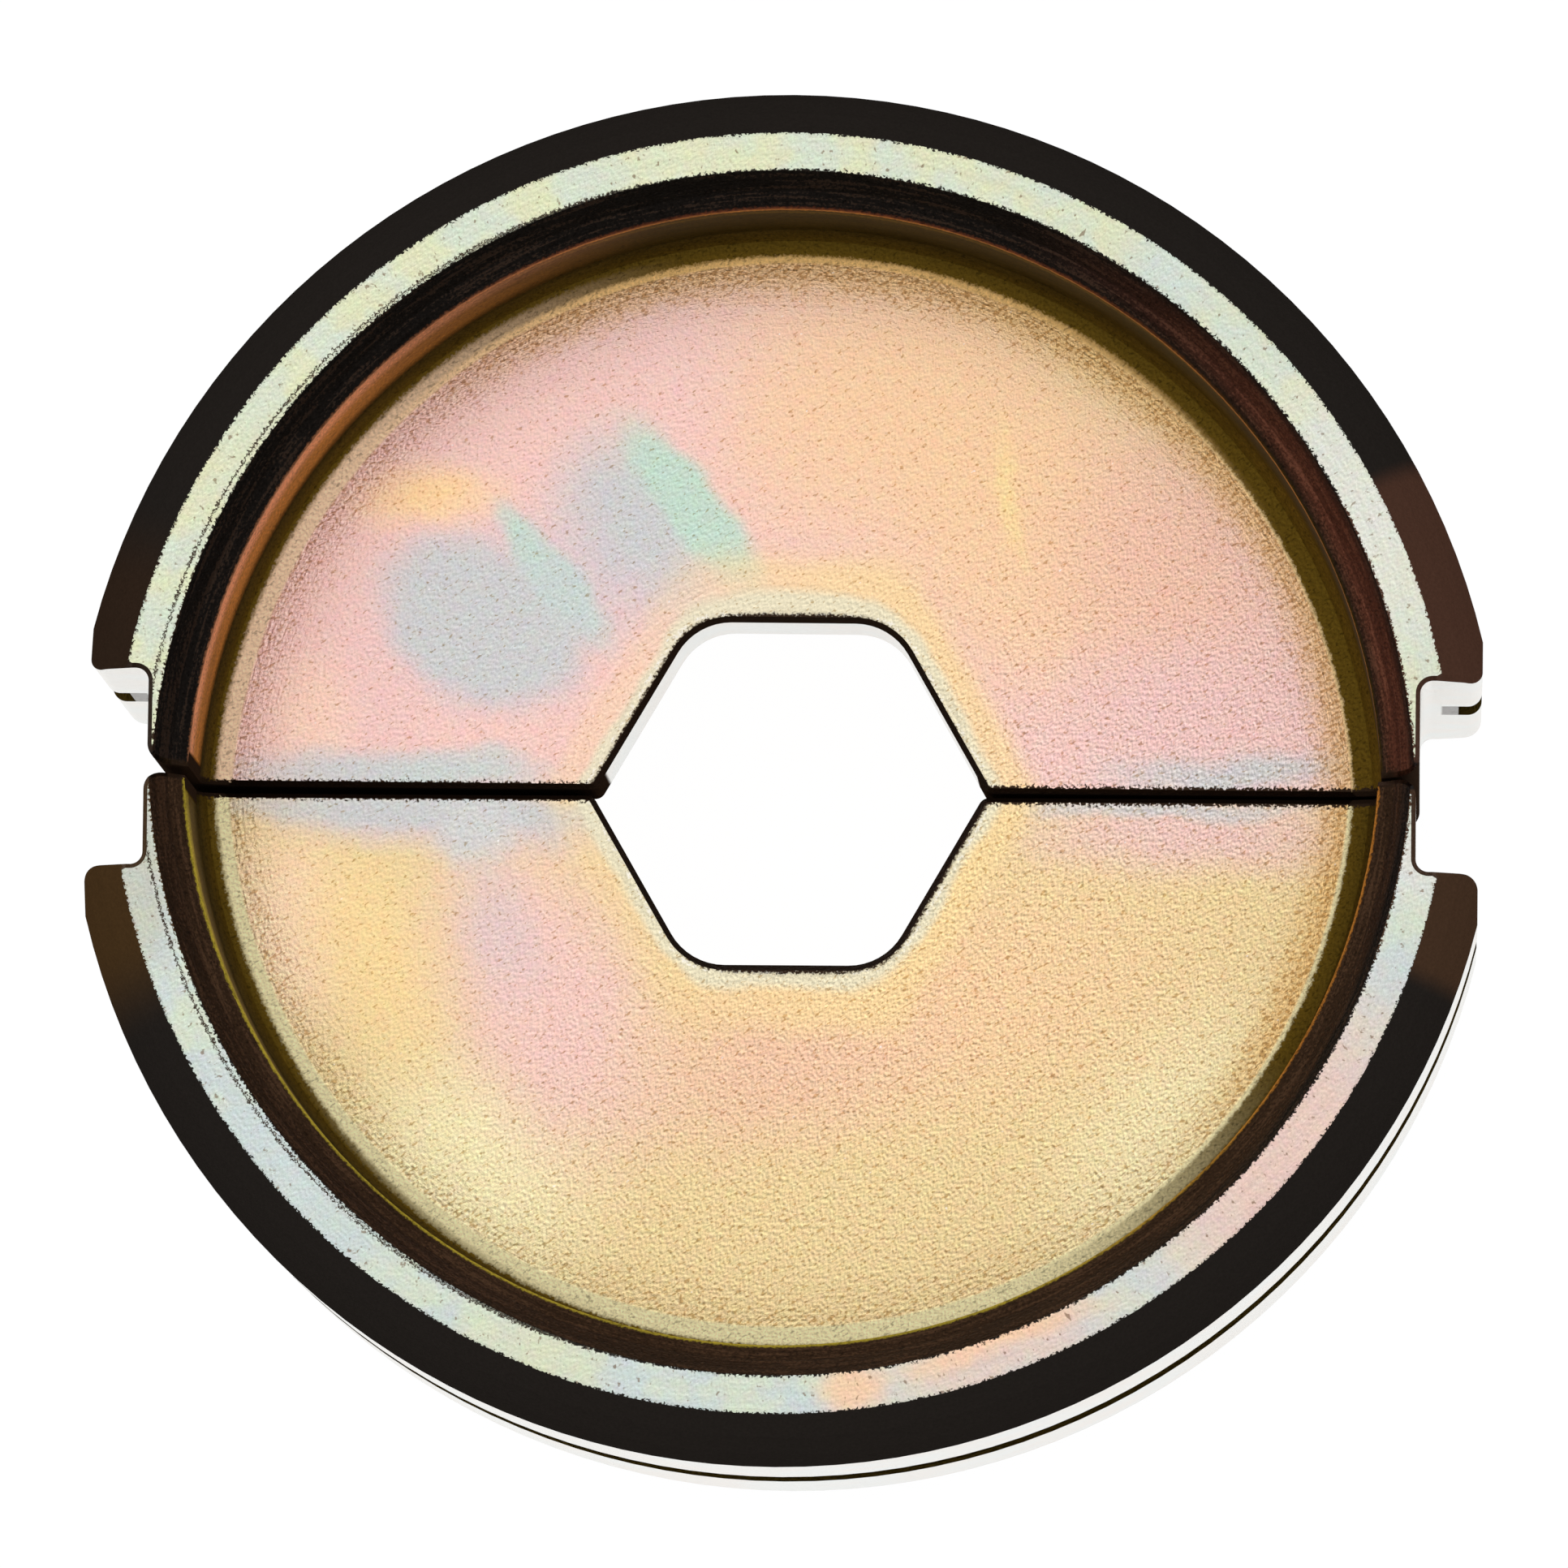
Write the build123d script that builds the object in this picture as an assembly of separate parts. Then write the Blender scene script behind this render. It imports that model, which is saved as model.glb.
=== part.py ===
from build123d import *
import os
from math import cos, radians, sin, sqrt, tan

# A pair of hexagonal crimping dies, lying face to face on the back of their rims.
# Each half is a half disc with an I-shaped section: a thick rim round a thin web.
# The two half hexagons in the webs meet and press a cable lug to a hexagon.
# Millimetres. +Z is the die's axis and its front, +Y is the side of the upper half.

# Rim
thickness = 20.0              # from the front face of the rim to the back face
outer_radius = 25.2           # the land that seats in the press head
arc_drop = 1.05               # how far the arc's centre lies beyond the parting face
side_flat_depth = 0.72        # how far the blank's flat sides lie inside the arc
outer_bevel_width = 1.7       # across the rim
outer_bevel_depth = 2.6       # along the axis
outer_bevel_bulge = 0.25      # how far the bevel swells out of a straight cone
bevel_cut_count = 3           # straight cuts that the swelling bevel is turned in
face_width = 1.35             # the flat face of the rim, between its two bevels
inner_bevel_width = 1.15      # across the rim
inner_bevel_depth = 1.5       # along the axis

# Retaining groove round the outside of the rim
groove_width = 2.8
groove_depth = 1.15

# Web
web_thickness = 4.0           # this is the width of one crimp
foot_radius = 1.05            # hollow corner between the web and the wall
foot_cut_count = 2            # straight cuts that the hollow corner is turned in

# Hexagon
across_flats = 12.0
hexagon_corner_radius = 2.2   # corners at the ends of the flat opposite the parting face
mouth_radius = 0.4            # where a slanted side runs out into the parting face

# Ends of each half
tongue_reach = 0.15           # how far a tongue stands out past the inner edge of the rim's face
shoulder_height = 3.3         # from the parting face to the shoulder of the rim
root_radius = 0.45            # between the tongue's flat and the shoulder
shoulder_corner_radius = 0.5
tongue_corner_radius = 0.65

# Broken edges
edge_break = 0.16             # along the parting face and the tongue
hexagon_break = 0.2
shoulder_break = 1.1          # at the outer end of the shoulder, growing from the root

# How the two loose halves lie
parting_gap = 0.12            # at the nearer end
lower_shift = 0.12            # the lower half lies this far to the left
lower_turn = 0.25             # degrees, opening the parting gap to the left


face_outer_radius = outer_radius - outer_bevel_width
face_inner_radius = face_outer_radius - face_width
wall_radius = face_inner_radius - inner_bevel_width
tongue_half_width = face_inner_radius + tongue_reach
side_half_width = outer_radius - side_flat_depth
side_top = sqrt(outer_radius**2 - side_half_width**2) - arc_drop
slant = radians(30)
flat_height = across_flats / 2
corner = flat_height / cos(slant)


def half_outline():
    """The plan of one half, with its parting face on the X axis and its arc above."""
    top = outer_radius - arc_drop
    with BuildSketch() as plan:
        with BuildLine():
            Polyline(
                (-side_half_width, side_top),
                (-side_half_width, shoulder_height),
                (-tongue_half_width, shoulder_height),
                (-tongue_half_width, 0),
                (-corner, 0),
                (-corner / 2, flat_height),
                (corner / 2, flat_height),
                (corner, 0),
                (tongue_half_width, 0),
                (tongue_half_width, shoulder_height),
                (side_half_width, shoulder_height),
                (side_half_width, side_top),
            )
            ThreePointArc((side_half_width, side_top), (0, top), (-side_half_width, side_top))
        make_face()
        round_corner(plan, corner / 2, flat_height, hexagon_corner_radius)
        round_corner(plan, corner, 0, mouth_radius)
        round_corner(plan, tongue_half_width, 0, tongue_corner_radius)
        round_corner(plan, tongue_half_width, shoulder_height, root_radius)
        round_corner(plan, side_half_width, shoulder_height, shoulder_corner_radius)
    return plan.sketch


def round_corner(plan, x, y, radius):
    """Round the corner of the plan at (x, y) and its twin on the other side."""
    near = plan.vertices().sort_by_distance((x, y))[0]
    far = plan.vertices().sort_by_distance((-x, y))[0]
    fillet([near, far], radius)


def turned(points):
    """A ring turned about the arc's axis from a section of (radius, height) points."""
    with BuildPart() as ring:
        with BuildSketch(Plane.XZ):
            with BuildLine():
                Polyline(*points, close=True)
            make_face()
        revolve(axis=Axis.Z)
    return Pos(0, -arc_drop, 0) * ring.part


def bowed(start, end, bow, cuts):
    """Points of a line that swells by bow to the right of its way, in straight cuts."""
    across = end[0] - start[0]
    up = end[1] - start[1]
    length = sqrt(across**2 + up**2)
    points = []
    for cut in range(cuts + 1):
        share = cut / cuts
        swell = 4 * bow * share * (1 - share) / length
        points.append((start[0] + share * across + swell * up, start[1] + share * up - swell * across))
    return points


def recess_cutter():
    """What is turned out of the front of the rim, down to the web."""
    web_top = web_thickness / 2
    face = thickness / 2
    above = face + inner_bevel_depth
    above_radius = 2 * face_inner_radius - wall_radius
    foot_start = (wall_radius - foot_radius, web_top)
    foot_end = (wall_radius, web_top + foot_radius)
    foot_bow = foot_radius * (1 - sqrt(0.5))
    wall_end = (wall_radius, face - inner_bevel_depth)
    foot = bowed(foot_start, foot_end, foot_bow, foot_cut_count)
    return turned([(0, web_top), *foot, wall_end, (above_radius, above), (0, above)])


def outer_bevel_cutter():
    """What is turned off the outer edge of the front of the rim."""
    face = thickness / 2
    land_end = face - outer_bevel_depth
    above = face + outer_bevel_depth
    beyond = 2 * outer_radius - face_outer_radius
    bevel = bowed((outer_radius, land_end), (face_outer_radius, face), outer_bevel_bulge, bevel_cut_count)
    return turned([*bevel, (face_outer_radius, above), (beyond, above), (beyond, land_end)])


def groove_cutter():
    """The retaining groove, at the middle of the thickness."""
    bottom = outer_radius - groove_depth
    beyond = outer_radius + groove_depth
    low = -groove_width / 2
    high = groove_width / 2
    return turned([(bottom, low), (beyond, low), (beyond, high), (bottom, high)])


def hexagon_countersink():
    """A flared prism that breaks the edge of the half hexagon on the front of the web."""
    below = hexagon_break
    reach = corner + below * tan(slant)
    with BuildPart() as cutter:
        with BuildSketch(Plane.XY.offset(web_thickness / 2 - hexagon_break)) as profile:
            with BuildLine():
                Polyline(
                    (-reach, -below),
                    (-corner / 2, flat_height),
                    (corner / 2, flat_height),
                    (reach, -below),
                    close=True,
                )
            make_face()
            round_corner(profile, corner / 2, flat_height, hexagon_corner_radius)
        extrude(amount=2 * hexagon_break, taper=-45)
    return cutter.part


def shoulder_cutter():
    """A sloping cut that breaks the front edge of the right shoulder, widening outwards."""
    start_x = tongue_half_width + root_radius
    start = edge_break / 2
    slope = (shoulder_break - start) / (side_half_width - start_x)
    sloping = Plane(origin=(start_x, shoulder_height, thickness / 2 - start), z_dir=(slope, -1, 1))
    above = sloping * Box(thickness, thickness, thickness, align=(Align.CENTER, Align.CENTER, Align.MIN))
    outside = Box(thickness, thickness, thickness, align=(Align.MIN, Align.CENTER, Align.CENTER))
    return above & Pos(start_x, shoulder_height, thickness / 2) * outside


def is_turned(edge):
    """Whether an edge is a circle round the arc's axis."""
    spots = [edge.position_at(share) for share in (0, 0.5, 1)]
    distances = [sqrt(spot.X**2 + (spot.Y + arc_drop) ** 2) for spot in spots]
    return max(distances) - min(distances) < 0.001


def outline_edges(body):
    """The front and back edges of the parting face, the half hexagon and the tongues."""
    edges = []
    for edge in body.edges():
        middle = edge.center()
        on_face = abs(middle.Z) > web_thickness / 2 - 0.001
        on_tongue = middle.Y < shoulder_height - root_radius
        on_hexagon = abs(middle.X) < corner and middle.Y < flat_height + 0.001
        inside = abs(middle.X) < tongue_half_width + 0.001
        if on_face and inside and (on_tongue or on_hexagon) and not is_turned(edge):
            edges.append(edge)
    return edges


def both_sides(cutter):
    """A cutter at the front with its twin at the back."""
    return [cutter, mirror(cutter, Plane.XY)]


def die_half():
    """One half, its parting face on y = 0 and the middle of its thickness on z = 0."""
    shoulder = shoulder_cutter()
    body = extrude(half_outline(), thickness / 2, both=True)
    body = body - both_sides(recess_cutter())
    body = body - both_sides(outer_bevel_cutter())
    body = body - groove_cutter()
    body = chamfer(outline_edges(body), edge_break)
    body = body - both_sides(hexagon_countersink())
    body = body - both_sides(shoulder) - both_sides(mirror(shoulder, Plane.YZ))
    return body


def placed_halves():
    """Both halves as they lie, with the pair's middle over the origin."""
    half = Pos(0, 0, thickness / 2) * die_half()
    opening = parting_gap + tongue_half_width * sin(radians(lower_turn))
    upper = Pos(lower_shift / 2, opening / 2, 0) * Rot(0, 0, -lower_turn / 2) * half
    lower = Pos(-lower_shift / 2, -opening / 2, 0) * Rot(0, 0, 180 + lower_turn / 2) * half
    box = Compound([upper, lower]).bounding_box()
    middle = Pos(-(box.min.X + box.max.X) / 2, -(box.min.Y + box.max.Y) / 2, 0)
    return middle * upper, middle * lower


upper_half, lower_half = placed_halves()
os.makedirs("parts", exist_ok=True)
export_step(upper_half, "parts/upper_die_half.step")
export_step(lower_half, "parts/lower_die_half.step")
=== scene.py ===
import math
from types import SimpleNamespace

import bpy
from mathutils import Matrix, Vector

# A pair of hexagonal crimping dies, plated yellow over zinc, lying on a pale floor.
# Places on the object are in millimetres in the object's own frame, with +Z its front.

MM = 0.001

# Sizes of the two halves, as they are built
THICKNESS = 20.0
WEB_THICKNESS = 4.0
FACE_OUTER_RADIUS = 23.5
FACE_INNER_RADIUS = 22.15
WALL_RADIUS = 21.0
FOOT_RADIUS = 1.05
INNER_BEVEL_DEPTH = 1.5
GROOVE_WIDTH = 2.8
FLAT_HEIGHT = 6.0               # from a half's parting face to the flat of its half hexagon
HALF_OPENING = 0.11             # how far that parting face lies from the parting line
HEXAGON_REACH = 9.0             # a circle round the arc's centre that holds the hexagon
UPPER_ARC_CENTRE = (0.06, -0.94)
LOWER_ARC_CENTRE = (-0.06, 0.94)

# Way along the rim's section: radius and height above the web added, so that it grows
# from the web over the foot, the wall and the inner bevel to the ring face
WEB_END = WALL_RADIUS - FOOT_RADIUS
FOOT_END = WALL_RADIUS + FOOT_RADIUS
WALL_END = WALL_RADIUS + (THICKNESS - WEB_THICKNESS) / 2 - INNER_BEVEL_DEPTH
RING_START = FACE_INNER_RADIUS + (THICKNESS - WEB_THICKNESS) / 2
RING_END = FACE_OUTER_RADIUS + (THICKNESS - WEB_THICKNESS) / 2

# The grains that all the looks share: a noise's scale per millimetre, detail and roughness
FINE_GRAIN = (8.5, 2.0, 0.65)
MIDDLING_GRAIN = (2.4, 3.0, 0.7)
BROAD_GRAIN = (0.35, 2.0, 0.5)
MARK_GRAIN = (1.0, 2.0, 0.6)    # in the marks' own units, given next
DASH_SIZE = (0.26, 0.13, 0.2)   # millimetres
DASH_TURN = 32.0                # degrees
RAY_SCALES = (3.0, 90.0)        # outwards per millimetre, and along the arc per radian
TURNING_SCALES = (8.0, 6.0)
# LIT_STEP places the copy of the grain that paints the shade and light of its relief
LIT_STEP = (0.05, 0.07, 0.0)    # how far towards the light the grain is compared with itself
RAGGED = 0.5                    # millimetres that the grain spreads a ragged edge over
WANDER = 1.4                    # millimetres that the fields of colour are spread over
MOTTLING = 0.22                 # share by which a field's colour varies
SOFT = 0.05                     # millimetres over which one region goes over into the next

# How much the normal points up where a surface counts as flat, and where as steep
FLAT_UPRIGHT = (0.80, 0.96)
STEEP_UPRIGHT = (0.25, 0.1)

# The web's looks. Pairs of distances are where a look starts and where it is full
CORNER_ROUNDING = 1.77          # of the lines that lie evenly far from the hexagon
OVER_FLAT = (2.0, 5.5)          # height above the slanted sides
OVER_FLAT_STRETCH = 0.35        # by which the halos are wider there
HALO_SWAY = 0.9
YELLOW_HALO = (2.6, 1.6)
YELLOW_HALO_SIDES = (-5.0, 2.0)
YELLOW_HALO_LEFT = 0.3
YELLOW_HALO_MORE = 0.45
PALE_HALO = (1.3, 0.9)
PALE_HALO_STRENGTH = 0.85
ARC_SCALE = 4.5                 # outwards per millimetre
ARC_GRAIN = (1.0, 2.0, 0.5)
ARC_REACH = (12.5, 8.5)
ARC_SHADE = 0.35
STRIP_INSIDE = 1.1              # from the foot of the wall inwards
STRIP_OUTSIDE = 0.5
STRIP_SWAY = 1.2
TANNED_SIDES = (-2.0, 10.0)
TAN_STRENGTH = 0.7
ROUGH_SIDES = (-12.0, 16.0)
SMOOTH_SHADE = 0.6
ROUGH_SHADE = 0.8
PIT_EDGE = (0.40, 0.31)
PITS_IN_ROUGH = 0.03
PITS_IN_STRIP = 0.05
PITS_IN_TAN = 0.04
PIT_STRENGTH = 0.75
PIT_TINT = (0.55, 0.42, 0.26)
SPECK_EDGE = (0.70, 0.74)
SPECK_FIELDS = (0.5, 0.6)       # of the middling grain
SPECK_STRENGTH = 0.7
# Painted shade and dark reflection on the hexagon's edge break, wider over its flat, and a pale
# burr line outside it that is partly a painted highlight
HEXAGON_SHADE_EDGE = (0.28, 0.16)
HEXAGON_SHADE_RAGGED = 0.9
HEXAGON_SHADE_OVER_FLAT = 0.15
BURR = (0.30, 0.36)
BURR_FIELDS = (0.45, 0.6)
BURR_STRENGTH = 0.7

# The rim's looks. Angles along a half's arc are in radians, from the right end
RIGHT_SECTION = (1.25, 0.5)
LEFT_SECTION = (1.75, 2.6)
LEFT_BEVEL_END = (2.70, 2.84)
BEVEL_END_SOFTNESS = 0.02
BEVEL_GRAIN = 0.5
LINE_RAGGED = 1.2
DASH_EDGE = (0.42, 0.34)
DASH_SHADE = -0.4
GLINT_EDGE = (0.02, 0.15)
GLINT_LIGHT = 0.8
GLINT_BROWN = 0.4
RING_DRIFT_GRAIN = (0.5, 2.0, 0.5)
RING_DRIFT = (0.4, 0.6)
# The next strength is for the painted shade and light of the ring's grain relief
RING_RELIEF_SHADE = 0.5
RING_TURNING = 0.25
RING_PIT_EDGE = (0.38, 0.29)
RING_PIT_STRENGTH = 0.7
SCRATCH = (FACE_INNER_RADIUS + 0.02, FACE_INNER_RADIUS + 0.10)
SCRATCH_START = (1.7, 1.9)
SCRATCH_DRIFT = 0.24            # outwards per radian
SEAM_EDGE = (0.36, 0.29)
SEAM_RAGGED = 1.2
PARTING_HEIGHT = (0.75, 0.6)
LAND_DRIFT = (0.3, 0.7)
LAND_GRAIN = 0.3

# Gloss
METAL = 0.9
RECESS_MATT = 0.65              # by which the recess is less like metal
ROUGHNESS = 0.30
GRAIN_ROUGHNESS = 0.12
DULL_ROUGHNESS = 0.3
LAND_SMOOTHNESS = 0.14
BUMP_STRENGTH = 0.6
BUMP_HEIGHT = 0.05
BUMP_OF_GRAIN = 0.7
BUMP_OF_TURNING = 0.4

# Floor and studio
FLOOR_RADIUS = 4.0              # metres
FLOOR_GREY = (0.9, 0.9, 0.9, 1.0)
FLOOR_GLOW = 1.04
FLOOR_GLOW_SHARE = 0.94         # the rest shows the shadow
SKY_RISE = (0.25, 0.85)         # from the walls to overhead
SKY_STRENGTHS = (0.45, 1.3)
LAMP_PLACE = (-0.25, 0.35, 0.8)  # metres
LAMP_SIZE = 0.4
LAMP_POWER = 0.35

# Camera, as far off and as tilted as the photograph shows
CAMERA_TARGET = (0.125, -0.473, THICKNESS)
CAMERA_LEAN = (0.041, -0.101, 1.0)
CAMERA_DISTANCE = 555.0
CAMERA_ROLL = 0.70
CAMERA_LENS = 364.0
CAMERA_SENSOR = 36.0


def linear(red, green, blue):
    """A colour named by its three display values, from 0 to 255, as linear light."""
    return tuple(((value / 255 + 0.055) / 1.055) ** 2.4 for value in (red, green, blue)) + (1.0,)


class Graph:
    """The shader nodes of one material. Each call adds nodes and returns an output."""

    def __init__(self, name):
        self.material = bpy.data.materials.new(name)
        self.material.use_nodes = True
        self.tree = self.material.node_tree
        self.tree.nodes.clear()

    def node(self, kind, **settings):
        made = self.tree.nodes.new(kind)
        for name, value in settings.items():
            setattr(made, name, value)
        return made

    def put(self, socket, value):
        """A value, or the output of another node, goes into a socket."""
        if isinstance(value, bpy.types.NodeSocket):
            self.tree.links.new(value, socket)
        else:
            socket.default_value = value

    def math(self, operation, *values, clamp=False):
        made = self.node("ShaderNodeMath", operation=operation, use_clamp=clamp)
        for socket, value in zip(made.inputs, values):
            self.put(socket, value)
        return made.outputs[0]

    def plus(self, first, second):
        return self.math("ADD", first, second)

    def minus(self, first, second, clamp=False):
        return self.math("SUBTRACT", first, second, clamp=clamp)

    def times(self, first, second):
        return self.math("MULTIPLY", first, second)

    def size(self, value):
        return self.math("ABSOLUTE", value)

    def greater(self, first, second):
        return self.math("MAXIMUM", first, second)

    def vector(self, operation, first, second):
        made = self.node("ShaderNodeVectorMath", operation=operation)
        self.put(made.inputs[0], first)
        self.put(made.inputs["Scale" if operation == "SCALE" else 1], second)
        return made.outputs["Vector"]

    def length(self, vector):
        made = self.node("ShaderNodeVectorMath", operation="LENGTH")
        self.put(made.inputs[0], vector)
        return made.outputs["Value"]

    def joined(self, x, y, z):
        made = self.node("ShaderNodeCombineXYZ")
        for socket, value in zip(made.inputs, (x, y, z)):
            self.put(socket, value)
        return made.outputs[0]

    def parts(self, vector):
        made = self.node("ShaderNodeSeparateXYZ")
        self.put(made.inputs[0], vector)
        return made.outputs

    def rise(self, value, low, high, full=1.0):
        """0 below low, full above high, smooth between. With low above high it falls instead."""
        made = self.node("ShaderNodeMapRange", interpolation_type="SMOOTHSTEP")
        start, end = (0.0, full) if low < high else (full, 0.0)
        for socket, number in zip(made.inputs, (value, min(low, high), max(low, high), start, end)):
            self.put(socket, number)
        return made.outputs[0]

    def band(self, value, low, high, soft):
        """1 between low and high, falling off over soft at both ends."""
        up = self.rise(value, low - soft, low + soft)
        down = self.rise(value, high + soft, high - soft)
        return self.times(up, down)

    def ramp(self, value, stops):
        """A colour that changes along a value, from (value, colour) stops in rising order."""
        low = stops[0][0]
        span = stops[-1][0] - low
        made = self.node("ShaderNodeValToRGB")
        self.put(made.inputs[0], self.math("DIVIDE", self.minus(value, low), span, clamp=True))
        elements = made.color_ramp.elements
        while len(elements) < len(stops):
            elements.new(0.5)
        for element, (position, colour) in zip(elements, stops):
            element.position = (position - low) / span
            element.color = colour
        return made.outputs[0]

    def noise(self, vector, scale, detail, roughness):
        """The strength and the colour of a noise."""
        made = self.node("ShaderNodeTexNoise")
        self.put(made.inputs["Vector"], vector)
        self.put(made.inputs["Scale"], scale)
        self.put(made.inputs["Detail"], detail)
        self.put(made.inputs["Roughness"], roughness)
        return made.outputs

    def mix(self, share, first, second):
        made = self.node("ShaderNodeMix", data_type="RGBA")
        self.put(made.inputs[0], share)
        self.put(made.inputs[6], first)
        self.put(made.inputs[7], second)
        return made.outputs[2]

    def lit(self, colour, amount):
        """A colour made lighter by a share of itself, or darker where the share is below 0."""
        return self.vector("SCALE", colour, self.plus(amount, 1.0))

    def laid(self, vector, centre, radii, turn):
        """A place as an ellipsoid sees it, turned on the plan, with its radii as units."""
        made = self.node("ShaderNodeMapping", vector_type="TEXTURE")
        self.put(made.inputs["Vector"], vector)
        made.inputs["Location"].default_value = centre
        made.inputs["Rotation"].default_value = (0.0, 0.0, math.radians(turn))
        made.inputs["Scale"].default_value = radii
        return made.outputs[0]

    def patch(self, vector, centre, radii, turn, soft, strength):
        """A strength in an ellipse on the plan, falling off outside soft times its radii."""
        laid = self.laid(vector, (*centre, 0.0), (*radii, 1.0), turn)
        return self.rise(self.length(laid), 1.0, soft, strength)


# The plating's colours, named by their display values
PINK = linear(240, 199, 190)
SALMON = linear(236, 190, 168)
ROSE = linear(234, 194, 190)
PEACH = linear(244, 203, 160)
ORANGE = linear(252, 212, 160)
YELLOW = linear(246, 214, 156)
GOLD = linear(234, 208, 156)
GREEN_GOLD = linear(244, 230, 184)
TEAL = linear(192, 216, 200)
GREY_TEAL = linear(198, 208, 204)
GREY_BLUE = linear(201, 202, 202)
LAVENDER = linear(214, 198, 202)
PALE_BLUE = linear(208, 208, 206)
HALO = linear(226, 220, 192)
TAN = linear(232, 188, 120)
STRAW = linear(255, 242, 190)
PALE_PEACH = linear(252, 216, 180)
MINT = linear(208, 216, 198)
RING_YELLOW = linear(216, 218, 184)
RING_PINK = linear(228, 196, 184)
RING_ORANGE = linear(246, 200, 160)
RING_BLUE = linear(200, 210, 208)
RING_WHITE = linear(220, 220, 210)
RING_GREY = linear(190, 190, 176)
DARK_OLIVE = linear(58, 46, 16)
OLIVE = linear(100, 78, 24)
BRIGHT_OLIVE = linear(190, 170, 60)
OCHRE = linear(196, 128, 54)
COPPER = linear(246, 166, 118)
RUST = linear(120, 68, 46)
MAROON = linear(98, 58, 44)
BROWN = linear(62, 45, 32)
BEVEL_BROWN = linear(72, 52, 38)
BEVEL_RED = linear(78, 53, 42)
BEVEL_GOLD = linear(72, 52, 30)
UMBER = linear(50, 37, 28)
BLACK = linear(30, 27, 25)
CHARCOAL = linear(38, 34, 31)
PIT = linear(120, 92, 66)
DARK_PIT = linear(56, 42, 32)
PALE_STEEL = linear(252, 250, 249)
# BLUSH and FROST are near white painted on the land as its blown-out reflection of the floor
BLUSH = linear(240, 234, 226)
FROST = linear(236, 238, 234)

# Colour patches on each web: colour, strength, centre, radii, turn in degrees, softness.
# The two webs were plated together, and the colours ran differently over each.
UPPER_WEB = PINK
UPPER_PATCHES = [
    (PEACH, 0.9, (6.5, 14.0), (13.0, 7.0), -25, 0.2),
    (PEACH, 0.8, (8.0, 8.5), (9.5, 6.5), -35, 0.2),
    (PEACH, 0.6, (0.5, 12.5), (5.0, 6.0), 0, 0.1),
    (GOLD, 0.7, (12.0, 14.9), (9.5, 3.6), -42, 0.1),
    (SALMON, 0.9, (13.5, 7.5), (6.0, 8.0), 15, 0.1),
    (YELLOW, 0.8, (7.7, 10.7), (0.6, 3.6), 8, 0.2),
    (ROSE, 0.8, (14.0, 3.0), (8.0, 4.2), 5, 0.1),
    (ROSE, 0.6, (-15.0, 4.0), (4.5, 6.0), -20, 0.1),
    (LAVENDER, 0.9, (-6.6, 8.4), (3.6, 4.8), 39, 0.1),
    (GREY_BLUE, 0.95, (-5.4, 9.8), (2.9, 4.8), 39, 0.25),
    (LAVENDER, 0.85, (-10.9, 6.0), (5.2, 4.0), -25, 0.5),
    (GREY_BLUE, 0.95, (-11.0, 6.0), (4.6, 3.2), -25, 0.6),
    (ORANGE, 0.95, (-13.0, 10.5), (4.0, 1.7), 3, 0.1),
    (GREY_TEAL, 1.0, (-8.4, 7.6), (1.15, 4.2), 39, 0.4),
    (TEAL, 0.95, (-3.7, 10.2), (1.4, 4.8), 38, 0.45),
    (TEAL, 0.5, (-9.7, 9.3), (0.8, 1.8), 37, 0.2),
    (PALE_PEACH, 0.4, (-17.0, 2.8), (2.2, 3.2), 0, 0.1),
    (GREY_BLUE, 0.95, (-14.5, 0.6), (8.0, 1.3), 0, 0.2),
    (GREY_TEAL, 0.6, (-12.0, 0.8), (4.6, 1.0), 0, 0.2),
    (GREY_BLUE, 0.9, (15.6, 0.9), (7.0, 1.2), 3, 0.1),
]
LOWER_WEB = GOLD
LOWER_PATCHES = [
    (GREEN_GOLD, 0.9, (-11.0, -13.5), (7.5, 5.5), -45, 0.1),
    (GREEN_GOLD, 0.7, (14.0, -12.0), (5.0, 9.0), -40, 0.1),
    (PEACH, 0.9, (4.5, -7.5), (14.0, 6.5), 10, 0.1),
    (SALMON, 0.6, (-0.8, -9.8), (9.5, 4.4), 12, 0.1),
    (PALE_PEACH, 0.9, (-17.6, -5.0), (3.6, 5.4), 20, 0.2),
    (YELLOW, 0.9, (-14.6, -6.0), (3.2, 5.5), 20, 0.2),
    (PINK, 0.95, (-8.6, -7.2), (5.2, 9.0), 20, 0.2),
    (LAVENDER, 0.5, (-10.2, -4.8), (2.2, 4.0), 12, 0.1),
    (ROSE, 0.85, (14.2, -1.3), (9.5, 2.4), 0, 0.1),
    (LAVENDER, 0.9, (-12.2, -1.0), (9.0, 1.6), -2, 0.1),
    (GREY_BLUE, 0.95, (-13.0, -0.6), (10.0, 1.0), -1, 0.3),
    (GREY_BLUE, 0.8, (13.0, -0.4), (8.0, 0.6), 0, 0.2),
    (PALE_BLUE, 0.95, (-11.1, -1.5), (1.9, 1.9), 0, 0.2),
]
UPPER_RING = (MINT, RING_YELLOW)
UPPER_RING_PATCHES = [
    (RING_WHITE, 0.9, (20.0, 9.0), (8.0, 8.0), 0, 0.1),
    (RING_BLUE, 0.5, (14.0, 18.0), (4.0, 4.0), 0, 0.1),
    (RING_YELLOW, 0.6, (-4.0, 22.0), (4.0, 2.5), 0, 0.1),
    (RING_YELLOW, 0.6, (-19.0, 10.0), (3.0, 5.0), 0, 0.1),
]
LOWER_RING = (MINT, RING_BLUE)
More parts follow.
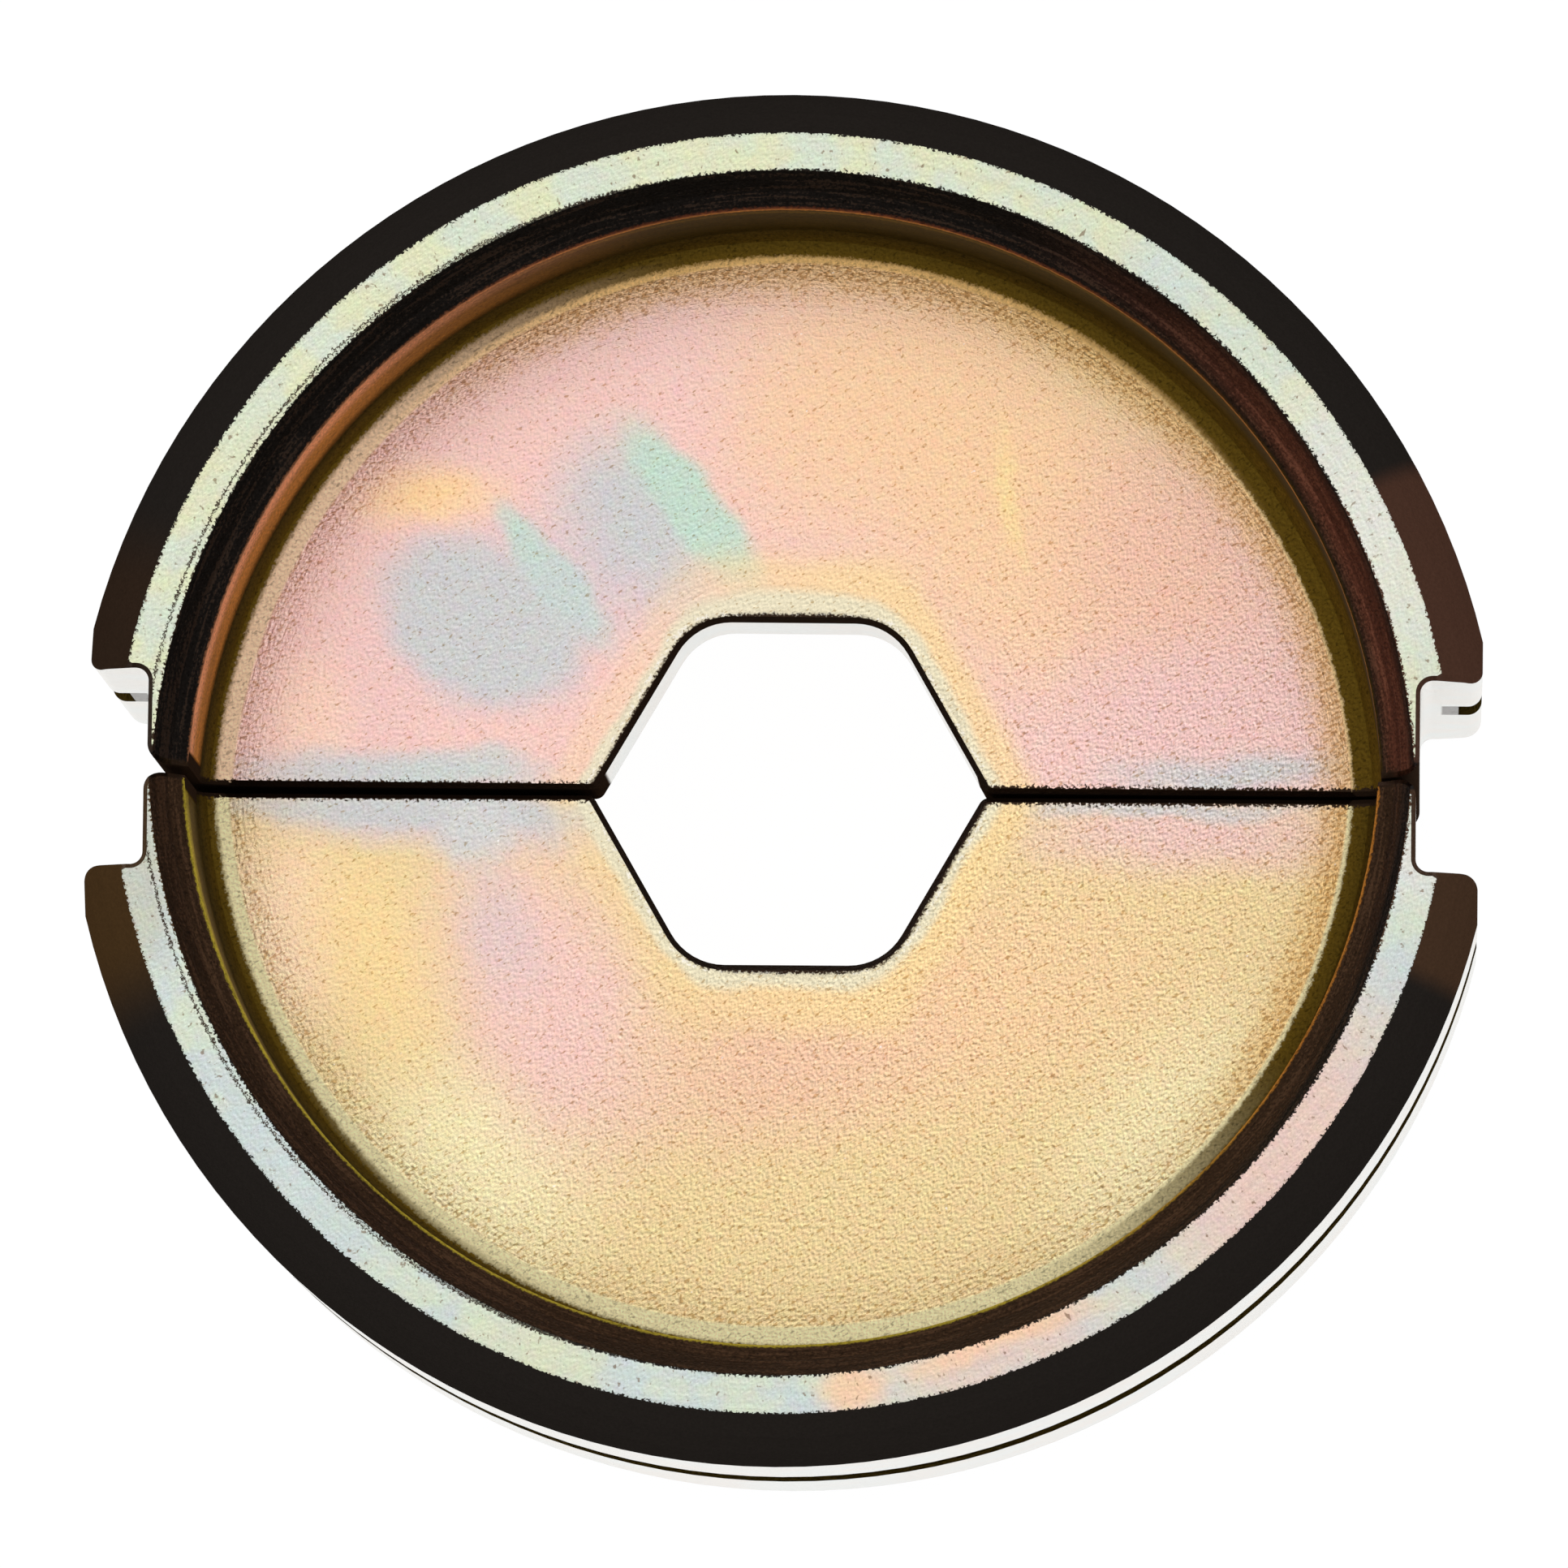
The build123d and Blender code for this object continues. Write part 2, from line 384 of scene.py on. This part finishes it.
LOWER_RING_PATCHES = [
    (RING_GREY, 0.7, (-22.4, -4.0), (1.4, 5.0), 0, 0.3),
    (RING_BLUE, 0.8, (-16.5, -14.5), (5.0, 4.0), -40, 0.2),
    (RING_YELLOW, 0.7, (-8.5, -20.5), (4.0, 1.6), -20, 0.2),
    (RING_PINK, 0.9, (17.6, -13.0), (7.5, 9.0), -15, 0.2),
    (RING_PINK, 0.7, (8.1, -20.3), (6.0, 1.8), 21, 0.2),
    (RING_ORANGE, 0.8, (2.9, -21.6), (1.8, 1.4), 8, 0.2),
    (RING_ORANGE, 0.7, (7.9, -19.9), (5.2, 0.8), 21, 0.2),
    (RING_WHITE, 0.9, (22.5, -2.8), (1.6, 2.6), 0, 0.2),
]

# Colours along the rim's section, at the right end, in the middle and at the left end
# They paint light and shade over the plating's olive and copper: dark walls and black inner bevels
# for shade and dark reflections, bright ochre, copper and olive lines as highlights on edges, and a
# pale foot where it faces the light
UPPER_SECTION = (
    [
        (WEB_END, YELLOW), (WEB_END + 0.15, OLIVE), (FOOT_END, OLIVE), (WALL_END - 2.6, DARK_OLIVE),
        (WALL_END - 0.8, DARK_OLIVE), (WALL_END - 0.3, OCHRE), (WALL_END, DARK_OLIVE),
        (WALL_END + 0.2, UMBER), (RING_START - 1.6, MAROON), (RING_START - 0.6, MAROON),
        (RING_START, BLACK),
    ],
    [
        (WEB_END, TAN), (WEB_END + 0.2, TAN), (WEB_END + 0.4, OLIVE), (FOOT_END, DARK_OLIVE),
        (WALL_END - 1.2, DARK_OLIVE), (WALL_END - 0.9, OLIVE), (WALL_END - 0.5, DARK_OLIVE),
        (WALL_END - 0.2, OCHRE), (WALL_END, RUST), (WALL_END + 0.2, BLACK), (RING_START, BLACK),
    ],
    [
        (WEB_END, PALE_PEACH), (WEB_END + 0.65, PALE_PEACH), (WEB_END + 0.9, OLIVE),
        (FOOT_END, DARK_OLIVE), (FOOT_END + 1.4, OCHRE), (WALL_END - 2.4, OCHRE),
        (WALL_END - 1.0, COPPER), (WALL_END - 0.2, COPPER), (WALL_END + 0.15, BLACK),
        (RING_START, BLACK),
    ],
)
LOWER_SECTION = (
    [
        (WEB_END, STRAW), (WEB_END + 0.1, STRAW), (WEB_END + 0.25, OLIVE), (FOOT_END, DARK_OLIVE),
        (WALL_END - 0.1, OCHRE), (WALL_END + 0.1, OCHRE), (WALL_END + 0.2, BROWN),
        (RING_START - 0.8, BROWN), (RING_START - 0.5, BLACK), (RING_START, BLACK),
    ],
    [
        (WEB_END, STRAW), (WEB_END + 0.8, STRAW), (WEB_END + 1.0, OLIVE), (FOOT_END, DARK_OLIVE),
        (WALL_END - 0.1, BRIGHT_OLIVE), (WALL_END + 0.12, BRIGHT_OLIVE), (WALL_END + 0.24, BROWN),
        (RING_START, BROWN),
    ],
    [
        (WEB_END, STRAW), (WEB_END + 0.5, STRAW), (WEB_END + 0.75, OLIVE), (FOOT_END, DARK_OLIVE),
        (WALL_END - 1.8, OLIVE), (WALL_END - 0.3, BRIGHT_OLIVE), (WALL_END + 0.12, BRIGHT_OLIVE),
        (WALL_END + 0.24, BROWN), (RING_START, BROWN),
    ],
)

# The outer bevel's colour at the right end, the angle where that starts, and at the left end,
# painted browner where the bevel turns round the corners into the light
UPPER_BEVEL_ENDS = (BEVEL_RED, 0.5, UMBER)
LOWER_BEVEL_ENDS = (BEVEL_BROWN, 0.34, BEVEL_GOLD)


def measured(graph, side, arc_centre):
    """Where a point of a half lies: its plan, its section and its distance from the hexagon."""
    spot = SimpleNamespace()
    coordinates = graph.node("ShaderNodeTexCoord")
    spot.place = graph.vector("SCALE", coordinates.outputs["Object"], 1 / MM)
    spot.x, spot.y, z = graph.parts(spot.place)
    spot.depth = graph.size(graph.minus(z, THICKNESS / 2))
    spot.height = graph.times(spot.y, side)

    from_centre = graph.vector("SUBTRACT", spot.place, (*arc_centre, 0.0))
    arc_x, arc_y = graph.parts(from_centre)[:2]
    spot.radius = graph.length(graph.joined(arc_x, arc_y, 0.0))
    spot.angle = graph.math("ARCTAN2", graph.times(arc_y, side), arc_x)
    spot.way = graph.plus(spot.radius, graph.minus(spot.depth, WEB_THICKNESS / 2))
    spot.from_hexagon = distance_from_hexagon(graph, spot)

    upright = graph.size(graph.parts(coordinates.outputs["Normal"])[2])
    spot.flat = graph.rise(upright, *FLAT_UPRIGHT)
    spot.steep = graph.rise(upright, *STEEP_UPRIGHT)
    return spot


def distance_from_hexagon(graph, spot):
    """How far outside the half hexagon a point of the web lies, round its rounded corners."""
    slant = math.radians(30)
    across = graph.times(graph.size(spot.x), math.cos(slant))
    slanted = graph.plus(across, graph.times(spot.height, math.sin(slant)))
    farther = graph.math("SMOOTH_MAX", spot.height, slanted, CORNER_ROUNDING)
    return graph.minus(farther, FLAT_HEIGHT + HALF_OPENING / 2)


def grains(graph, spot):
    """The noises that all the looks share, and what they make ragged."""
    grain = SimpleNamespace()
    grain.fine = graph.noise(spot.place, *FINE_GRAIN)[0]
    lit_side = graph.vector("ADD", spot.place, LIT_STEP)
    # relief is painted shade and light: the grain minus itself moved towards the light
    grain.relief = graph.minus(grain.fine, graph.noise(lit_side, *FINE_GRAIN)[0])
    grain.middling, grain.mottle = graph.noise(spot.place, *MIDDLING_GRAIN)
    grain.broad, drift = graph.noise(spot.place, *BROAD_GRAIN)
    dashes = graph.laid(spot.place, (0.0, 0.0, 0.0), DASH_SIZE, DASH_TURN)
    grain.dashes = graph.noise(dashes, *MARK_GRAIN)[0]
    grain.rays = graph.noise(along_arc(graph, spot, *RAY_SCALES), *MARK_GRAIN)[0]
    grain.turned = graph.noise(along_arc(graph, spot, *TURNING_SCALES), *MARK_GRAIN)[0]

    wander = graph.vector("SUBTRACT", drift, (0.5, 0.5, 0.5))
    wander = graph.vector("MULTIPLY", wander, (WANDER, WANDER, 0.0))
    grain.warped = graph.vector("ADD", graph.joined(spot.x, spot.y, 0.0), wander)
    grain.ragged = graph.times(graph.minus(grain.fine, 0.5), RAGGED)
    grain.ragged_way = graph.plus(spot.way, grain.ragged)
    return grain


def along_arc(graph, spot, outward_scale, along_scale):
    """Coordinates that run outwards and along the arc, for marks of the turning tool."""
    outward = graph.times(spot.radius, outward_scale)
    return graph.joined(outward, graph.times(spot.angle, along_scale), spot.depth)


def with_patches(graph, grain, colour, patches):
    """A colour with fields of other colours over it, mottled as plating is."""
    for patch_colour, strength, centre, radii, turn, soft in patches:
        share = graph.patch(grain.warped, centre, radii, turn, soft, strength)
        colour = graph.mix(share, colour, patch_colour)
    mottle = graph.vector("SUBTRACT", grain.mottle, (0.5, 0.5, 0.5))
    mottle = graph.vector("SCALE", mottle, MOTTLING)
    return graph.vector("MULTIPLY", colour, graph.vector("ADD", mottle, (1.0, 1.0, 1.0)))


def web_look(graph, spot, grain, colour, patches):
    """The web's plating: its fields of colour, and what the cutters and the wear did to it."""
    over_flat = graph.rise(graph.minus(spot.height, graph.size(spot.x)), *OVER_FLAT)
    strip = graph.plus(spot.radius, graph.times(grain.middling, STRIP_SWAY))
    strip = graph.rise(strip, WEB_END - STRIP_INSIDE, WEB_END + STRIP_OUTSIDE)
    tanned = graph.times(strip, graph.rise(graph.plus(spot.x, spot.y), *TANNED_SIDES))

    web = with_patches(graph, grain, colour, patches)
    web = with_halos(graph, spot, grain, web, over_flat)
    web = with_cutter_arcs(graph, spot, web)
    web = graph.mix(graph.times(tanned, TAN_STRENGTH), web, TAN)
    web = with_pits(graph, spot, grain, web, strip, tanned)
    return with_hexagon_edge_shade(graph, spot, grain, web, over_flat)


def with_halos(graph, spot, grain, web, over_flat):
    """A pale halo round the hexagon in a yellow one, which is stronger towards the right."""
    swayed = graph.plus(spot.from_hexagon, graph.times(grain.broad, HALO_SWAY))
    stretch = graph.plus(graph.times(over_flat, OVER_FLAT_STRETCH), 1.0)
    distance = graph.math("DIVIDE", swayed, stretch)
    more = graph.rise(spot.x, *YELLOW_HALO_SIDES, YELLOW_HALO_MORE)
    yellow = graph.times(graph.plus(more, YELLOW_HALO_LEFT), graph.rise(distance, *YELLOW_HALO))
    web = graph.mix(yellow, web, YELLOW)
    return graph.mix(graph.rise(distance, *PALE_HALO, PALE_HALO_STRENGTH), web, HALO)


def with_cutter_arcs(graph, spot, web):
    """Fine arcs that the cutter left round the hexagon."""
    from_middle = graph.length(graph.joined(spot.x, spot.y, 0.0))
    outward = graph.joined(graph.times(from_middle, ARC_SCALE), 0.0, 0.0)
    arcs = graph.minus(graph.noise(outward, *ARC_GRAIN)[0], 0.5)
    arcs = graph.times(arcs, graph.rise(from_middle, *ARC_REACH))
    return graph.lit(web, graph.times(arcs, ARC_SHADE))


def with_pits(graph, spot, grain, web, strip, tanned):
    """The grain's relief with painted shade and light, its pits, deeper to the right and along the
    wall, and pale specks.
    """
    rough = graph.rise(graph.minus(spot.x, spot.y), *ROUGH_SIDES)
    rough = graph.greater(rough, strip)
    shade = graph.plus(graph.times(rough, ROUGH_SHADE), SMOOTH_SHADE)
    web = graph.lit(web, graph.times(grain.relief, shade))
    more = graph.plus(graph.times(rough, PITS_IN_ROUGH), graph.times(strip, PITS_IN_STRIP))
    more = graph.plus(more, graph.times(tanned, PITS_IN_TAN))
    pits = graph.rise(graph.minus(grain.dashes, more), *PIT_EDGE, PIT_STRENGTH)
    web = graph.mix(pits, web, graph.vector("MULTIPLY", web, PIT_TINT))
    speckled = graph.rise(grain.middling, *SPECK_FIELDS, SPECK_STRENGTH)
    specks = graph.times(graph.rise(grain.dashes, *SPECK_EDGE), speckled)
    return graph.mix(specks, web, PALE_STEEL)


def with_hexagon_edge_shade(graph, spot, grain, web, over_flat):
    """The hexagon's edge break with painted shade and dark reflection, wider over the flat, and a
    broken pale burr line outside it that is partly a painted highlight.
    """
    distance = graph.minus(spot.from_hexagon, graph.times(grain.ragged, HEXAGON_SHADE_RAGGED))
    broken = graph.rise(grain.middling, *BURR_FIELDS, BURR_STRENGTH)
    burr = graph.times(graph.band(distance, *BURR, SOFT), broken)
    web = graph.mix(burr, web, PALE_STEEL)
    distance = graph.minus(distance, graph.times(over_flat, HEXAGON_SHADE_OVER_FLAT))
    return graph.mix(graph.rise(distance, *HEXAGON_SHADE_EDGE), web, UMBER)


def ring_look(graph, spot, grain, colours, patches):
    """The rim's flat face: pale, with painted shade and light on its grain's relief, pits and a
    dark scratch near its inner edge.
    """
    drift = graph.rise(graph.noise(spot.place, *RING_DRIFT_GRAIN)[0], *RING_DRIFT)
    ring = with_patches(graph, grain, graph.mix(drift, *colours), patches)
    ring = graph.lit(ring, graph.times(grain.relief, RING_RELIEF_SHADE))
    ring = graph.lit(ring, graph.times(graph.minus(grain.turned, 0.5), RING_TURNING))
    ring = graph.mix(graph.rise(grain.rays, *RING_PIT_EDGE, RING_PIT_STRENGTH), ring, PIT)
    drifted = graph.times(graph.minus(spot.angle, SCRATCH_START[1]), SCRATCH_DRIFT)
    line = graph.minus(graph.plus(spot.radius, grain.ragged), drifted)
    scratch = graph.times(graph.band(line, *SCRATCH, 0.03), graph.rise(spot.angle, *SCRATCH_START))
    return graph.mix(scratch, ring, DARK_PIT)


def rim_look(graph, spot, grain, section):
    """The foot, the wall and the inner bevel, blended along the arc between three ramps of colour
    and painted light and shade, with painted glints on the inner bevel.
    """
    right, middle, left = (graph.ramp(grain.ragged_way, stops) for stops in section)
    rim = graph.mix(graph.rise(spot.angle, *RIGHT_SECTION), middle, right)
    rim = graph.mix(graph.rise(spot.angle, *LEFT_SECTION), rim, left)
    lines = graph.plus(graph.minus(grain.turned, 0.5), graph.times(grain.ragged, LINE_RAGGED))
    past_foot = graph.rise(spot.way, WEB_END + 0.4, FOOT_END)
    rim = graph.lit(graph.lit(rim, grain.relief), graph.times(lines, past_foot))
    rim = graph.lit(rim, graph.rise(grain.dashes, *DASH_EDGE, DASH_SHADE))
    # Painted glints: highlights along the turning lines on the inner bevel, partly tinted brown
    on_bevel = graph.rise(grain.ragged_way, WALL_END + 0.2, WALL_END + 0.4)
    glints = graph.times(graph.rise(lines, *GLINT_EDGE), on_bevel)
    rim = graph.lit(rim, graph.times(glints, GLINT_LIGHT))
    return graph.mix(graph.times(glints, GLINT_BROWN), rim, BEVEL_BROWN)


def bevel_look(graph, spot, grain, ends):
    """The outer bevel: dull, painted almost black for its dark reflection over the plating's own
    dark brown, and browner towards its ends, where it turns into the light.
    """
    right_end, right_angle, left_end = ends
    at_right = graph.rise(
        spot.angle, right_angle + BEVEL_END_SOFTNESS, right_angle - BEVEL_END_SOFTNESS
    )
    bevel = graph.mix(at_right, CHARCOAL, right_end)
    bevel = graph.mix(graph.rise(spot.angle, *LEFT_BEVEL_END), bevel, left_end)
    return graph.lit(bevel, graph.times(graph.minus(grain.fine, 0.5), BEVEL_GRAIN))


def regions(graph, spot, grain):
    """How far a point belongs to each region of a half, from 0 to 1."""
    on = SimpleNamespace()
    on.rim = graph.rise(spot.radius, WEB_END - 0.1, WEB_END + 0.05)
    on.past_bevel = graph.rise(spot.way, RING_START - SOFT, RING_START)
    ragged_radius = graph.plus(spot.radius, grain.ragged)
    on.past_face = graph.rise(ragged_radius, FACE_OUTER_RADIUS - 0.06, FACE_OUTER_RADIUS)
    ring = graph.band(grain.ragged_way, RING_START + 0.04, RING_END + 0.3, 0.03)
    on.ring = graph.times(graph.minus(ring, on.past_face, clamp=True), spot.flat)

    # The seam is painted shade beside the gap between the halves
    from_seam = graph.plus(spot.height, graph.times(grain.ragged, SEAM_RAGGED))
    inside_bevel = graph.rise(spot.way, RING_START, WALL_END)
    on.seam = graph.times(graph.rise(from_seam, *SEAM_EDGE), inside_bevel)
    # The parting faces are painted dark for the shade inside the gap between the halves
    on.parting = graph.times(spot.steep, graph.rise(spot.height, *PARTING_HEIGHT))

    on.beyond_wall = graph.rise(spot.radius, WALL_RADIUS + 0.5, WALL_RADIUS + 0.6)
    in_hexagon = graph.rise(spot.radius, HEXAGON_REACH, HEXAGON_REACH - 0.2)
    on.land = graph.times(spot.steep, graph.greater(on.beyond_wall, in_hexagon))
    # The groove is painted dark for the shade inside it
    in_groove = graph.rise(spot.depth, GROOVE_WIDTH / 2 + SOFT, GROOVE_WIDTH / 2)
    past_tongue = graph.rise(spot.radius, FACE_OUTER_RADIUS - 0.1, FACE_OUTER_RADIUS)
    on.groove = graph.times(in_groove, past_tongue)
    section = graph.band(spot.way, WEB_END, RING_START, SOFT)
    on.recess = graph.minus(section, on.beyond_wall, clamp=True)
    beyond_ring = graph.times(graph.minus(on.past_bevel, on.ring, clamp=True), on.past_face)
    on.outer_bevel = graph.times(beyond_ring, graph.minus(1.0, spot.steep))
    return on


def half_colour(graph, spot, grain, on, looks):
    """The colour of one half, region over region. Steep faces of the web, such as the hexagon's
    chamfers, are painted dark for their shade and dark reflections.
    """
    colour = graph.mix(spot.flat, UMBER, web_look(graph, spot, grain, looks.web, looks.web_patches))
    colour = graph.mix(on.rim, colour, rim_look(graph, spot, grain, looks.section))
    colour = graph.mix(on.past_bevel, colour, bevel_look(graph, spot, grain, looks.bevel_ends))
    ring = ring_look(graph, spot, grain, looks.ring, looks.ring_patches)
    colour = graph.mix(on.ring, colour, ring)
    # Painted shade along the gap between the halves
    colour = graph.mix(on.seam, colour, UMBER)
    # The land, the shoulders and the hexagon's walls are painted near white for their blown-out
    # reflection of the floor, over faint tints of the plating
    land = graph.mix(graph.rise(grain.broad, *LAND_DRIFT), FROST, BLUSH)
    colour = graph.mix(on.land, colour, graph.lit(land, graph.times(grain.ragged, LAND_GRAIN)))
    # The groove is painted dark for the shade inside it
    colour = graph.mix(on.groove, colour, DARK_OLIVE)
    # The parting faces are painted dark for the shade in the gap between the halves
    return graph.mix(on.parting, colour, UMBER)


def plating(name, side, arc_centre, looks):
    """The plated steel of one half. side is 1 for the upper half and -1 for the lower one."""
    graph = Graph(name)
    spot = measured(graph, side, arc_centre)
    grain = grains(graph, spot)
    on = regions(graph, spot, grain)
    metal, rough = gloss(graph, grain, on)
    surface = graph.node("ShaderNodeBsdfPrincipled")
    graph.put(surface.inputs["Base Color"], half_colour(graph, spot, grain, on, looks))
    graph.put(surface.inputs["Metallic"], metal)
    surface.inputs["Specular IOR Level"].default_value = 0.0
    graph.put(surface.inputs["Roughness"], rough)
    graph.put(surface.inputs["Normal"], bumps(graph, grain))
    output = graph.node("ShaderNodeOutputMaterial")
    graph.put(output.inputs["Surface"], surface.outputs[0])
    return graph.material


def gloss(graph, grain, on):
    """How much like metal and how rough: dull outside the ring, matt in the recess."""
    dull = graph.greater(on.outer_bevel, on.parting)
    metal = graph.times(graph.minus(1.0, dull), METAL)
    metal = graph.minus(metal, graph.times(on.recess, RECESS_MATT), clamp=True)
    rough = graph.plus(graph.times(grain.middling, GRAIN_ROUGHNESS), ROUGHNESS)
    rough = graph.plus(rough, graph.times(dull, DULL_ROUGHNESS))
    rough = graph.minus(rough, graph.times(on.land, LAND_SMOOTHNESS))
    return metal, rough


def bumps(graph, grain):
    """The fine relief of the grain and the turning marks."""
    turning = graph.times(grain.turned, BUMP_OF_TURNING)
    bump = graph.node("ShaderNodeBump")
    bump.inputs["Strength"].default_value = BUMP_STRENGTH
    bump.inputs["Distance"].default_value = BUMP_HEIGHT * MM
    graph.put(bump.inputs["Height"], graph.plus(graph.times(grain.fine, BUMP_OF_GRAIN), turning))
    return bump.outputs[0]


def dress_half(node, material):
    """Gives the material to one half."""
    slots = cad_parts[node].data.materials
    slots.clear()
    slots.append(material)


def dress_halves():
    """Gives each half its plating."""
    upper_looks = SimpleNamespace(
        web=UPPER_WEB, web_patches=UPPER_PATCHES, ring=UPPER_RING, ring_patches=UPPER_RING_PATCHES,
        section=UPPER_SECTION, bevel_ends=UPPER_BEVEL_ENDS,
    )
    lower_looks = SimpleNamespace(
        web=LOWER_WEB, web_patches=LOWER_PATCHES, ring=LOWER_RING, ring_patches=LOWER_RING_PATCHES,
        section=LOWER_SECTION, bevel_ends=LOWER_BEVEL_ENDS,
    )
    dress_half("upper_die_half", plating("upper_plating", 1, UPPER_ARC_CENTRE, upper_looks))
    dress_half("lower_die_half", plating("lower_plating", -1, LOWER_ARC_CENTRE, lower_looks))


def floor():
    """A plain pale floor, white to the camera and in reflections, that keeps a soft shadow."""
    bpy.ops.mesh.primitive_circle_add(vertices=96, radius=FLOOR_RADIUS, fill_type="NGON")
    ground = bpy.context.object
    ground.name = "floor"
    graph = Graph("floor_white")
    seen = graph.node("ShaderNodeLightPath")
    bright = graph.greater(seen.outputs["Is Camera Ray"], seen.outputs["Is Glossy Ray"])
    bright = graph.greater(bright, seen.outputs["Is Transmission Ray"])
    matt = graph.node("ShaderNodeBsdfDiffuse")
    matt.inputs["Color"].default_value = FLOOR_GREY
    glow = graph.node("ShaderNodeEmission")
    glow.inputs["Strength"].default_value = FLOOR_GLOW
    both = graph.node("ShaderNodeMixShader")
    graph.put(both.inputs[0], graph.times(bright, FLOOR_GLOW_SHARE))
    graph.put(both.inputs[1], matt.outputs[0])
    graph.put(both.inputs[2], glow.outputs[0])
    output = graph.node("ShaderNodeOutputMaterial")
    graph.put(output.inputs["Surface"], both.outputs[0])
    ground.data.materials.append(graph.material)


def sky():
    """A studio that is bright overhead and dim round its walls."""
    world = bpy.data.worlds.new("studio")
    bpy.context.scene.world = world
    world.use_nodes = True
    tree = world.node_tree
    tree.nodes.clear()
    coordinates = tree.nodes.new("ShaderNodeTexCoord")
    split = tree.nodes.new("ShaderNodeSeparateXYZ")
    lift = tree.nodes.new("ShaderNodeMapRange")
    lift.interpolation_type = "SMOOTHSTEP"
    for socket, number in zip(lift.inputs[1:5], (*SKY_RISE, *SKY_STRENGTHS)):
        socket.default_value = number
    background = tree.nodes.new("ShaderNodeBackground")
    output = tree.nodes.new("ShaderNodeOutputWorld")
    tree.links.new(coordinates.outputs["Generated"], split.inputs[0])
    tree.links.new(split.outputs[2], lift.inputs[0])
    tree.links.new(lift.outputs[0], background.inputs["Strength"])
    tree.links.new(background.outputs[0], output.inputs[0])


def overhead_lamp():
    """A square lamp that shines on the object from above."""
    light = bpy.data.lights.new("overhead", "AREA")
    light.size = LAMP_SIZE
    light.energy = LAMP_POWER
    lamp = bpy.data.objects.new("overhead", light)
    bpy.context.scene.collection.objects.link(lamp)
    lamp.location = LAMP_PLACE
    lamp.rotation_euler = (-Vector(LAMP_PLACE)).to_track_quat("-Z", "Y").to_euler()


def camera():
    """A long lens, looking almost straight down, rolled as far as the object seems turned."""
    lens = bpy.data.cameras.new("photo_camera")
    lens.lens = CAMERA_LENS
    lens.sensor_width = CAMERA_SENSOR
    lens.clip_start = 0.01
    lens.clip_end = 20.0
    viewer = bpy.data.objects.new("photo_camera", lens)
    bpy.context.scene.collection.objects.link(viewer)
    lean = Vector(CAMERA_LEAN).normalized()
    roll = math.radians(CAMERA_ROLL)
    upward = Vector((-math.sin(roll), math.cos(roll), 0.0))
    right = upward.cross(lean).normalized()
    upward = lean.cross(right)
    turned = Matrix((right, upward, lean)).transposed().to_4x4()
    turned.translation = Vector(CAMERA_TARGET) * MM + lean * CAMERA_DISTANCE * MM
    viewer.matrix_world = turned
    bpy.context.scene.camera = viewer


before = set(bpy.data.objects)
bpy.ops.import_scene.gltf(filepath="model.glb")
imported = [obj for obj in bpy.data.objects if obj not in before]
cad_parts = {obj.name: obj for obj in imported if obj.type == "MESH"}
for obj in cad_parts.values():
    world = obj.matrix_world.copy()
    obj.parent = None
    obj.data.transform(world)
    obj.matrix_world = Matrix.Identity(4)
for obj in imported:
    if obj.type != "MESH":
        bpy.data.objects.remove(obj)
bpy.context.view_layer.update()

dress_halves()
floor()
sky()
overhead_lamp()
camera()

bpy.context.scene.view_settings.view_transform = "Standard"
